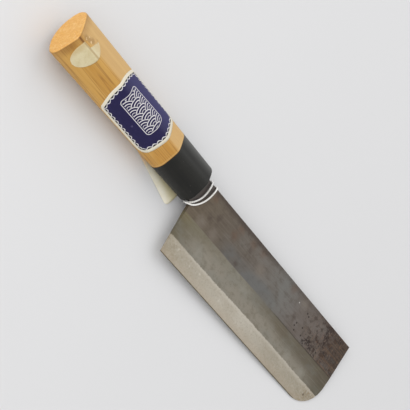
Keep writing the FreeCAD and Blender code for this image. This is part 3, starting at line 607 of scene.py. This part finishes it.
class GripSkin:
    """Skin of the handle about a place along it, by distance from there and run of paper from the ridge."""
    half_degrees, outside = 260, 60.0

    def __init__(self, middle, half_length):
        self.half_length = half_length
        self.rings = self.ring(middle - half_length), self.ring(middle + half_length)

    def ring(self, x):
        """Girth at one place along the handle: runs of paper from the ridge and the points they reach."""
        handle = BVHTree.FromObject(frame["nodes"]["handle"], bpy.context.evaluated_depsgraph_get())
        middle = place(x, 0, 0)
        points = []
        for half_degree in range(-self.half_degrees, self.half_degrees + 1):
            angle = math.radians(half_degree / 2)
            way = KNIFE_TURN @ Vector((0, math.sin(angle), math.cos(angle)))
            points.append(handle.ray_cast(middle + way * self.outside * MM, -way)[0])
        heights = [(KNIFE_BACK @ point).z for point in points]
        ridge = heights.index(max(heights))
        runs = [0.0] * len(points)
        for index in range(ridge + 1, len(points)):
            runs[index] = runs[index - 1] + (points[index] - points[index - 1]).length / MM
        for index in range(ridge - 1, -1, -1):
            runs[index] = runs[index + 1] - (points[index] - points[index + 1]).length / MM
        return runs, points

    def at(self, along, run):
        ends = []
        for runs, points in self.rings:
            index = min(max(bisect.bisect_left(runs, run), 1), len(runs) - 1)
            share = (run - runs[index - 1]) / (runs[index] - runs[index - 1])
            ends.append(points[index - 1].lerp(points[index], share))
        return ends[0].lerp(ends[1], (along / self.half_length + 1) / 2)


def spread(low, high, share):
    return low + (high - low) * share


def round_off(corner, gap):
    """How far an end draws back beside a round corner, at a gap from the side."""
    return corner - math.sqrt(corner ** 2 - max(0.0, corner - gap) ** 2)


def paper_sheet(shape, surface):
    """A grid of paper, face up: the shape gives each vertex a flat place, surface says where that lies."""
    sheet = bmesh.new()
    bmesh.ops.create_grid(sheet, x_segments=shape.columns, y_segments=shape.rows, size=0.5)
    flat = sheet.loops.layers.uv.new("flat")
    laid = {}
    for vertex in sheet.verts:
        laid[vertex] = shape.outline(vertex.co.x + 0.5, vertex.co.y + 0.5)
    for face in sheet.faces:
        for loop in face.loops:
            loop[flat].uv = Vector(laid[loop.vert]) / UV_MILLIMETRES
    for vertex, (along, run) in laid.items():
        vertex.co = surface(along, run)
    sheet.normal_update()
    face_up = KNIFE_TURN @ Vector((0, 0, 1))
    if sum(face.normal.dot(face_up) * face.calc_area() for face in sheet.faces) < 0:
        bmesh.ops.reverse_faces(sheet, faces=sheet.faces)
    return sheet


def finish_piece(name, mesh, material, node):
    """Makes a bmesh the piece that stands for a node of the frame."""
    data = bpy.data.meshes.new(name)
    mesh.to_mesh(data)
    mesh.free()
    for polygon in data.polygons:
        polygon.use_smooth = True
    data.materials.append(material)
    piece = bpy.data.objects.new(name, data)
    bpy.context.scene.collection.objects.link(piece)
    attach(piece, "root")
    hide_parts(node)
    return piece


def lay_paper(node, shape, surface, material, thickness):
    """Lays a sheet of paper in the place of a node of the frame, with its thickness on its face."""
    piece = finish_piece(node + "_paper", paper_sheet(shape, surface), material, node)
    solid = piece.modifiers.new("paper", "SOLIDIFY")
    solid.thickness = thickness
    solid.offset = 1.0


class LabelShape:
    """Front label in flat millimetres: x along the handle, and run of paper from the ridge."""
    front, back = -40.8, -88.3
    front_arch, back_arch = 0.008, 0.0195
    front_corner, back_corner = 5.0, 2.0
    half_width = 18.4
    middle, half_length = (front + back) / 2, (front - back) / 2
    columns, rows = 40, 80

    @classmethod
    def outline(cls, along_share, run_share):
        """Flat place of a share of the grid, counted from the label's middle along the handle."""
        run = cls.half_width * -math.cos(math.pi * run_share)
        aside = cls.half_width - abs(run)
        back = cls.back + cls.back_arch * run * run + round_off(cls.back_corner, aside)
        front = cls.front - cls.front_arch * run * run - round_off(cls.front_corner, aside)
        return spread(back, front, along_share) - cls.middle, run


class StickerShape:
    """Torn oval sticker in flat millimetres: x along the handle, and run of paper from the ridge."""
    middle, half_length = -114.8, 6.8
    edge_run, spine_run = -13.2, 8.8
    centre_run, half_run = (edge_run + spine_run) / 2, (spine_run - edge_run) / 2
    ridge_run, ridge_row = 0.4, 0.62
    tear, tear_slope = -1.4, 0.43
    ragged_waves = (0.3, 4.1, 0.0), (0.2, 9.7, 1.0)
    columns, rows = 28, 50

    @classmethod
    def outline(cls, along_share, run_share):
        """Flat place of a share of the grid, whose rows lie closest at the ridge and at the spine's side."""
        past_ridge = (run_share - cls.ridge_row) / (1 - cls.ridge_row)
        if past_ridge < 0:
            run = spread(cls.edge_run, cls.ridge_run, math.sin(run_share / cls.ridge_row * math.pi / 2))
        else:
            run = spread(cls.ridge_run, cls.spine_run, math.sin(past_ridge * math.pi / 2))
        reach = cls.half_length * math.sqrt(max(0.0, 1 - ((run - cls.centre_run) / cls.half_run) ** 2))
        low = -reach
        if past_ridge > 0:
            ragged = sum(size * math.sin(run * rate + shift) for size, rate, shift in cls.ragged_waves)
            low = min(max(low, cls.tear + (run - cls.ridge_run) * cls.tear_slope + ragged), reach)
        return spread(low, reach, along_share), run


class StripShape:
    """Loose paper strip in flat millimetres: back along it from its front end, and in from its loose side.

    It leaves the handle's underside along a line, rises a little beyond it and droops at its loose side.
    """
    length, width, corner = 47.5, 14.6, 3.0
    skew, lift = math.radians(14.0), math.radians(9.0)
    setback, overhang = 2.3, 16.9
    leave = Vector((0.0, -3.05, -9.2))
    droop_start, droop = 5.0, 1.4
    reach, margin = 12.0, 0.1
    columns, rows = 40, 24

    @classmethod
    def outline(cls, along_share, run_share):
        """Flat place of a share of the grid, with the corner trimmed at the ferrule's front."""
        run = -cls.width * (1 + math.cos(math.pi * run_share)) / 2
        eased = round_off(cls.corner, min(-run, cls.width + run))
        ferrule_front = (run * math.sin(cls.skew) + cls.setback - cls.margin) / math.cos(cls.skew)
        return spread(eased - cls.length, min(-eased, ferrule_front), along_share), run

    @classmethod
    def laid(cls, solid, along, run):
        """Row frame point of a flat place, found on the strip's solid from below."""
        forward = along * math.cos(cls.skew) - run * math.sin(cls.skew) - cls.setback
        across = along * math.sin(cls.skew) + run * math.cos(cls.skew) + cls.overhang
        out = Vector((0.0, -math.cos(cls.lift), math.sin(cls.lift)))
        upright = Vector((0.0, math.sin(cls.lift), math.cos(cls.lift)))
        spot = cls.leave + Vector((forward, 0.0, 0.0)) + out * across
        hit = solid.ray_cast(place(*(spot - upright * cls.reach)), KNIFE_TURN @ upright)[0]
        if hit is None:
            raise RuntimeError("the paper strip reaches past its solid")
        loose = max(0.0, across - cls.droop_start) / (cls.overhang - cls.droop_start)
        return hit - KNIFE_TURN @ upright * cls.droop * loose ** 2 * MM


class LabelPrint:
    """Print of the front label in flat millimetres: rounded frame, wave fans in it, and scalloped edge."""
    frame_middle, frame_corner = -0.6, 2.4
    frame_half_length, frame_half_width = 14.2, 7.4
    frame_line, fan_radius, fan_rings = 0.4, 5.2, 3.0
    scallop_gap, scallop_depth, scallop_pitch = 0.2, 1.1, 3.2
    scuffs = (-9.5, -7.0), (2.2, -10.5), (8.0, -5.0)


def wave_fans(finish, across, up, radius, rings_each):
    """White rings of overlapping wave fans, row before row."""
    row_height = radius / 2
    row = finish.math("FLOOR", finish.math("DIVIDE", up, row_height))
    rings, covered = 0.0, 0.0
    for step in (-1.0, 0.0, 1.0):
        level = finish.plus(row, step)
        rise = finish.minus(up, finish.times(level, row_height))
        aside = finish.math("PINGPONG", finish.plus(across, finish.times(level, radius)), radius)
        share = finish.math("DIVIDE", finish.hypotenuse(rise, aside), radius)
        wave = finish.math("FRACT", finish.times(share, rings_each))
        off_ring = finish.math("ABSOLUTE", finish.minus(wave, 0.72))
        line = finish.times(finish.step(off_ring, 0.2, 0.12), finish.step(share, 0.2, 0.25))
        hit = finish.times(finish.step(share, 1.02, 0.99), finish.minus(1.0, covered))
        rings = finish.plus(rings, finish.times(hit, line))
        covered = finish.plus(covered, hit)
    return rings


def label_finish(look):
    """Navy print inside a cream border: a scalloped edge, and wave fans in a rounded frame."""
    finish = Finish("printed_label", {"Roughness": 0.5, "Specular IOR Level": 0.25})
    shape, size = LabelShape, LabelPrint
    paper = finish.paper()
    along, run = finish.axes(paper)[:2]
    off_ridge = finish.math("ABSOLUTE", run)
    square = finish.times(run, run)
    back = finish.plus(finish.times(square, shape.back_arch), shape.back - shape.middle)
    front = finish.minus(shape.front - shape.middle, finish.times(square, shape.front_arch))
    behind, before = finish.minus(along, back), finish.minus(front, along)
    aside = finish.minus(shape.half_width, off_ridge)
    depth = finish.math("MINIMUM", finish.rounded(behind, aside, shape.back_corner),
                        finish.rounded(before, aside, shape.front_corner))
    border = look.border_width / MM
    on_end = finish.step(finish.minus(aside, finish.math("MINIMUM", behind, before)), -0.2, 0.2)
    track = finish.plus(finish.times(on_end, run), finish.times(finish.minus(1.0, on_end), along))
    wave = finish.math("ABSOLUTE", finish.math("SINE", finish.times(track, math.pi / size.scallop_pitch)))
    in_border = finish.minus(depth, border + size.scallop_gap)
    scallop = finish.minus(in_border, finish.times(wave, size.scallop_depth))
    off_middle = finish.math("ABSOLUTE", finish.minus(along, size.frame_middle))
    in_frame = finish.rounded(finish.minus(size.frame_half_length, off_middle),
                              finish.minus(size.frame_half_width, off_ridge), size.frame_corner)

    fibre = finish.pattern(paper, (1.6, 1.6, 1.0), 4.0, 0.6)
    worn = finish.pattern(paper, (0.35, 0.5, 1.0), 5.0, 0.7)
    # Painted sheen: the navy turns lighter and greyer towards the spine side, behind a ragged border.
    faded = finish.step(finish.plus(run, finish.scale(worn, -5.0, 5.0)), -2.0, 11.0)
    navy = finish.mix(faded, look.field, look.field_sheen)
    navy = finish.tone(navy, finish.step(worn, 0.45, 0.7), 0.3, tint(42, 36, 86))
    scuffs = finish.blot(paper, size.scuffs, 0.9, 0.9)
    navy = finish.tone(navy, scuffs, finish.step(fibre, 0.45, 0.65), tint(136, 130, 168))
    white = tint(226, 223, 224)
    fans = wave_fans(finish, run, finish.times(along, -1.0), size.fan_radius, size.fan_rings)
    ink = finish.tone(navy, fans, finish.step(in_frame, 0.9, 1.0), white)
    ink = finish.mix(finish.inside(in_frame, 0.0, size.frame_line, 0.08), ink, white)
    ink = finish.mix(finish.step(scallop, 0.06, -0.06), ink, tint(20, 18, 26))
    ink = finish.mix(finish.inside(scallop, -0.24, 0.36, 0.1), ink, white)
    cream = finish.mix(finish.step(fibre, 0.3, 0.7), look.border, tint(220, 212, 190))
    finish.shade("Base Color", finish.mix(finish.step(depth, border + 0.08, border - 0.08), ink, cream))
    finish.bump(fibre, 0.12, 0.05)
    return finish.material


def aged_paper(finish, spot, paper, stain):
    """Paper with soft stains and short fibres."""
    fibre = finish.pattern(spot, (1.8, 1.2, 1.2), 5.0, 0.65)
    cloud = finish.pattern(spot, (0.16, 0.2, 0.2), 4.0, 0.6)
    finish.bump(fibre, 0.2, 0.06)
    shade = finish.mix(finish.step(cloud, 0.35, 0.7), paper, stain)
    return finish.tone(shade, finish.step(fibre, 0.5, 0.75), 0.4, tint(240, 234, 212))


def sticker_finish(look):
    """Cream sticker, creased along the ridge and browned beyond it."""
    finish = Finish("sticker_paper", {"Roughness": 0.7})
    spot = finish.paper()
    along, run = finish.axes(spot)[:2]
    cream = aged_paper(finish, spot, look.cream, tint(204, 188, 145))
    cream = finish.layers(
        cream,
        (run, 0.0, 5.0, 0.5, tint(210, 182, 136)),
        (along, -2.0, -5.5, 0.6, tint(196, 170, 118)))
    cream = finish.tone(cream, finish.inside(run, -0.5, 0.5, 0.4), 0.7, tint(170, 142, 98))
    finish.shade("Base Color", cream)
    return finish.material


def strip_finish(look):
    """Pale loose strip with painted shade, warmer and darker towards its back end and towards the handle."""
    finish = Finish("strip_paper", {"Roughness": 0.7})
    spot = finish.paper()
    along, run = finish.axes(spot)[:2]
    pale = aged_paper(finish, spot, look.strip, tint(246, 238, 212))
    finish.shade("Base Color", finish.layers(
        pale,
        # Painted shade: warmer and darker towards the back end, under the handle.
        (along, -22.0, -36.0, 0.8, tint(224, 196, 152)),
        # Painted shade: darker towards the handle.
        (run, -1.5, -7.0, 0.8, tint(222, 210, 162))))
    return finish.material


def cord_finish(look):
    """White cotton with fine fibres."""
    finish = Finish("white_cotton", {"Roughness": 0.85})
    spot = finish.knife()
    fibre = finish.pattern(spot, (3.0, 3.0, 3.0), 4.0, 0.65)
    soil = finish.pattern(spot, (0.25, 0.25, 0.25), 3.0, 0.6)
    cotton = finish.mix(finish.step(soil, 0.4, 0.8), look.cotton, tint(228, 225, 217))
    finish.shade("Base Color", finish.tone(cotton, finish.step(fibre, 0.45, 0.8), 0.4, tint(200, 196, 188)))
    finish.bump(fibre, 0.5, 0.08)
    return finish.material


class CordLine:
    """Control points of the cord and its knot in knife millimetres; radii as shares of its diameter."""
    winding = ((5.5, -2.4, -5.6), (3.6, -7.6, -4.9), (2.2, -12.0, -2.6), (1.3, -13.1, 1.6),
               (6.4, -11.2, 2.6), (12.2, -2.5, 2.6), (13.4, 8.6, 2.8), (13.4, 8.6, -2.8),
               (7.7, -1.0, -3.3), (3.1, -10.9, -2.5), (2.6, -11.8, 1.8), (5.9, -8.2, 2.7),
               (8.9, -1.2, 2.7), (8.3, 8.6, 2.8), (8.3, 8.6, -2.8), (7.2, 2.6, -4.6),
               (5.5, -2.4, -5.6))
    knot = ((6.4, 1.4, -4.8), (5.6, 0.2, -5.3), (4.1, -2.0, -4.7), (4.7, -3.8, -6.5),
            (7.1, -3.6, -6.9), (7.3, -1.4, -5.1), (5.1, -0.6, -6.3), (3.9, -2.8, -6.9),
            (5.9, -4.2, -5.1), (6.5, -5.8, -5.5), (6.7, -7.6, -5.1))
    strands, strand_radius, lay_radius = 3, 0.27, 0.25


def curve_line(name, kind, points):
    """A curve of one spline with its points in the row frame."""
    curve = bpy.data.curves.new(name, "CURVE")
    curve.dimensions = "3D"
    line = curve.splines.new(kind)
    line.points.add(len(points) - 1)
    for control, point in zip(line.points, points):
        control.co = (*point, 1.0)
    return curve


def curve_mesh(curve):
    """The mesh that a curve makes; the curve itself is removed."""
    guide = bpy.data.objects.new(curve.name, curve)
    mesh = bpy.data.meshes.new_from_object(guide)
    bpy.data.objects.remove(guide)
    bpy.data.curves.remove(curve)
    return mesh


def spline_points(points):
    """Points along the NURBS line of a cord, from its control points in knife millimetres."""
    curve = curve_line("cord_line", "NURBS", [place(*point) for point in points])
    line = curve.splines[0]
    line.order_u = 3
    line.use_endpoint_u = True
    line.resolution_u = 16
    mesh = curve_mesh(curve)
    found = [vertex.co.copy() for vertex in mesh.vertices]
    bpy.data.meshes.remove(mesh)
    return found


def twist(points, diameter, pitch):
    """Strands laid round a line, as one bmesh."""
    rope = bmesh.new()
    ways = [(points[min(index + 1, len(points) - 1)] - points[max(index - 1, 0)]).normalized()
            for index in range(len(points))]
    runs, sides = [0.0], [ways[0].orthogonal().normalized()]
    for index in range(1, len(points)):
        runs.append(runs[-1] + (points[index] - points[index - 1]).length)
        sides.append((ways[index - 1].rotation_difference(ways[index]) @ sides[-1]).normalized())
    for strand in range(CordLine.strands):
        laid = []
        for point, way, side, run in zip(points, ways, sides, runs):
            turn = Matrix.Rotation(2 * math.pi * (run / pitch + strand / CordLine.strands), 3, way)
            laid.append(point + turn @ side * diameter * CordLine.lay_radius)
        curve = curve_line("strand", "POLY", laid)
        curve.bevel_depth = diameter * CordLine.strand_radius
        curve.bevel_resolution = 1
        curve.use_fill_caps = True
        mesh = curve_mesh(curve)
        rope.from_mesh(mesh)
        bpy.data.meshes.remove(mesh)
    return rope


class KNIFE_OT_blade(Operator):
    """Forged and ground finish of the core and its two claddings"""
    bl_idname = "knife.blade"
    bl_label = "Blade"

    def execute(self, context):
        material = blade_finish(context.scene.knife_look.blade)
        for node in ("blade_core", "cladding_right", "cladding_left"):
            dress(node, material)
        return {"FINISHED"}


class KNIFE_OT_handle(Operator):
    """Wood of the handle, black ferrule and resin round the tang"""
    bl_idname = "knife.handle"
    bl_label = "Handle"

    def execute(self, context):
        look = context.scene.knife_look.handle
        dress("handle", wood_finish(look))
        dress("ferrule", ferrule_finish(look))
        dress("tang_seal", resin_finish(look))
        return {"FINISHED"}


class KNIFE_OT_front_label(Operator):
    """Printed label wrapped over the ridge of the handle"""
    bl_idname = "knife.front_label"
    bl_label = "Front label"

    def execute(self, context):
        look = context.scene.knife_look.paper
        skin = GripSkin(LabelShape.middle, LabelShape.half_length)
        lay_paper("front_label", LabelShape, skin.at, label_finish(look), look.thickness)
        return {"FINISHED"}


class KNIFE_OT_oval_sticker(Operator):
    """Torn oval sticker across the ridge near the butt"""
    bl_idname = "knife.oval_sticker"
    bl_label = "Oval sticker"

    def execute(self, context):
        look = context.scene.knife_look.paper
        skin = GripSkin(StickerShape.middle, StickerShape.half_length)
        lay_paper("oval_sticker", StickerShape, skin.at, sticker_finish(look), look.thickness)
        return {"FINISHED"}


class KNIFE_OT_back_label(Operator):
    """Loose paper strip under the ferrule"""
    bl_idname = "knife.back_label"
    bl_label = "Paper strip"

    def execute(self, context):
        look = context.scene.knife_look.paper
        solid = BVHTree.FromObject(frame["nodes"]["back_label"], context.evaluated_depsgraph_get())
        surface = partial(StripShape.laid, solid)
        lay_paper("back_label", StripShape, surface, strip_finish(look), look.thickness)
        return {"FINISHED"}


class KNIFE_OT_neck_cord(Operator):
    """Twisted cotton cord wound twice round the neck and knotted on the left face"""
    bl_idname = "knife.neck_cord"
    bl_label = "Neck cord"

    def execute(self, context):
        look = context.scene.knife_look.cord
        cotton = cord_finish(look)
        rope = twist(spline_points(CordLine.winding), look.diameter, look.pitch)
        finish_piece("neck_cord_strands", rope, cotton, "neck_cord")
        knot = twist(spline_points(CordLine.knot), look.diameter, look.pitch)
        finish_piece("cord_knot_strands", knot, cotton, "cord_knot")
        return {"FINISHED"}


class StageSet:
    """Floor, sky and lamps in metres and watts; each lamp has a name, a place, a width and a power."""
    floor_half_width, sky_strength = 3.0, 0.675
    lamps = (("key", (0.2, 0.85, 0.95), 1.4, 4.2),
             ("fill", (-0.95, -0.55, 0.6), 1.4, 5.6),
             ("butt_fill", (-1.1, 0.05, 0.7), 0.8, 3.3))


class CameraSet:
    """Camera: lens, target in knife millimetres, distance in metres, and turns from the knife's axes."""
    sensor_width, focal_length = 36.0, 141.1
    shift_x, shift_y = -0.000585, 0.00468
    clip_start, clip_end = 0.05, 20.0
    target, distance = (15.19, -5.06, 0.0), 0.9304
    lean, tip, roll = math.radians(34.03), math.radians(-25.21), math.radians(49.64)

    @classmethod
    def matrix(cls):
        """The camera's place and turn in the row frame."""
        lean, tip = cls.lean, cls.tip
        back = Vector((-math.sin(lean), math.cos(lean) * math.sin(tip), math.cos(lean) * math.cos(tip)))
        along = Vector((math.cos(lean), math.sin(lean) * math.sin(tip), math.sin(lean) * math.cos(tip)))
        upright = Vector((0.0, math.cos(tip), -math.sin(tip)))
        right = along * math.cos(cls.roll) + upright * math.sin(cls.roll)
        turn = KNIFE_TURN @ Matrix((right, back.cross(right), back)).transposed()
        spot = place(*cls.target) + KNIFE_TURN @ back * cls.distance
        return Matrix.Translation(spot) @ turn.to_4x4()


def floor_finish(look):
    """Pale floor with a faint cloud in it."""
    finish = Finish("pale_floor", {"Roughness": 0.8})
    spot = finish.node("ShaderNodeTexCoord").outputs["Object"]
    cloud = finish.pattern(spot, (9.0, 9.0, 9.0), 2.0, 0.5)
    finish.shade("Base Color", finish.mix(cloud, look.floor, [value * 0.985 for value in look.floor]))
    return finish.material


class KNIFE_OT_stage(Operator):
    """Pale floor, soft light and the camera"""
    bl_idname = "knife.stage"
    bl_label = "Stage"

    def lay_floor(self, scene):
        ground = bmesh.new()
        bmesh.ops.create_grid(ground, x_segments=1, y_segments=1, size=StageSet.floor_half_width)
        data = bpy.data.meshes.new("floor")
        ground.to_mesh(data)
        ground.free()
        data.materials.append(floor_finish(scene.knife_look.stage))
        floor = bpy.data.objects.new("floor", data)
        scene.collection.objects.link(floor)

    def hang_lamp(self, scene, name, spot, width, watts):
        """Hangs a square lamp that faces the knife."""
        lamp = bpy.data.lights.new(name, "AREA")
        lamp.size = width
        lamp.energy = watts
        soft_box = bpy.data.objects.new(name, lamp)
        soft_box.location = spot
        soft_box.rotation_euler = soft_box.location.to_track_quat("Z", "Y").to_euler()
        scene.collection.objects.link(soft_box)

    def light(self, scene):
        world = bpy.data.worlds.new("soft_room")
        world.use_nodes = True
        sky = world.node_tree.nodes["Background"]
        sky.inputs["Color"].default_value = (1.0, 1.0, 1.0, 1.0)
        sky.inputs["Strength"].default_value = StageSet.sky_strength
        scene.world = world
        for lamp in StageSet.lamps:
            self.hang_lamp(scene, *lamp)

    def set_camera(self, scene):
        lens = bpy.data.cameras.new("camera")
        lens.sensor_width = CameraSet.sensor_width
        lens.lens = CameraSet.focal_length
        lens.shift_x, lens.shift_y = CameraSet.shift_x, CameraSet.shift_y
        lens.clip_start, lens.clip_end = CameraSet.clip_start, CameraSet.clip_end
        camera = bpy.data.objects.new("camera", lens)
        camera.matrix_world = CameraSet.matrix()
        scene.collection.objects.link(camera)
        scene.camera = camera

    def execute(self, context):
        scene = context.scene
        self.lay_floor(scene)
        self.light(scene)
        self.set_camera(scene)
        scene.view_settings.view_transform = "Standard"
        return {"FINISHED"}


class KNIFE_PT_looks(Panel):
    """Pieces of the knife and their finishes"""
    bl_label = "Nakiri knife"
    bl_idname = "KNIFE_PT_looks"
    bl_space_type = "VIEW_3D"
    bl_region_type = "UI"
    bl_category = "Knife"

    def draw(self, context):
        for operator in OPERATORS:
            self.layout.operator(operator.bl_idname)
        look = context.scene.knife_look
        for group in (look.blade, look.handle, look.paper, look.cord, look.stage):
            box = self.layout.box()
            for name in group.__annotations__:
                box.prop(group, name)


OPERATORS = (KNIFE_OT_stage, KNIFE_OT_neck_cord, KNIFE_OT_blade, KNIFE_OT_handle, KNIFE_OT_front_label,
             KNIFE_OT_oval_sticker, KNIFE_OT_back_label)
CLASSES = (BladeLook, HandleLook, PaperLook, CordLook, StageLook, KnifeLook, *OPERATORS, KNIFE_PT_looks)


def register():
    for part in CLASSES:
        bpy.utils.register_class(part)
    bpy.types.Scene.knife_look = PointerProperty(type=KnifeLook, name="Knife",
                                                 description="Looks of the knife")


def unregister():
    del bpy.types.Scene.knife_look
    for part in reversed(CLASSES):
        bpy.utils.unregister_class(part)


def main():
    register()
    bpy.ops.knife.stage()
    bpy.ops.knife.neck_cord()
    bpy.ops.knife.blade()
    bpy.ops.knife.handle()
    bpy.ops.knife.front_label()
    bpy.ops.knife.oval_sticker()
    bpy.ops.knife.back_label()


if __name__ == "__main__":
    main()
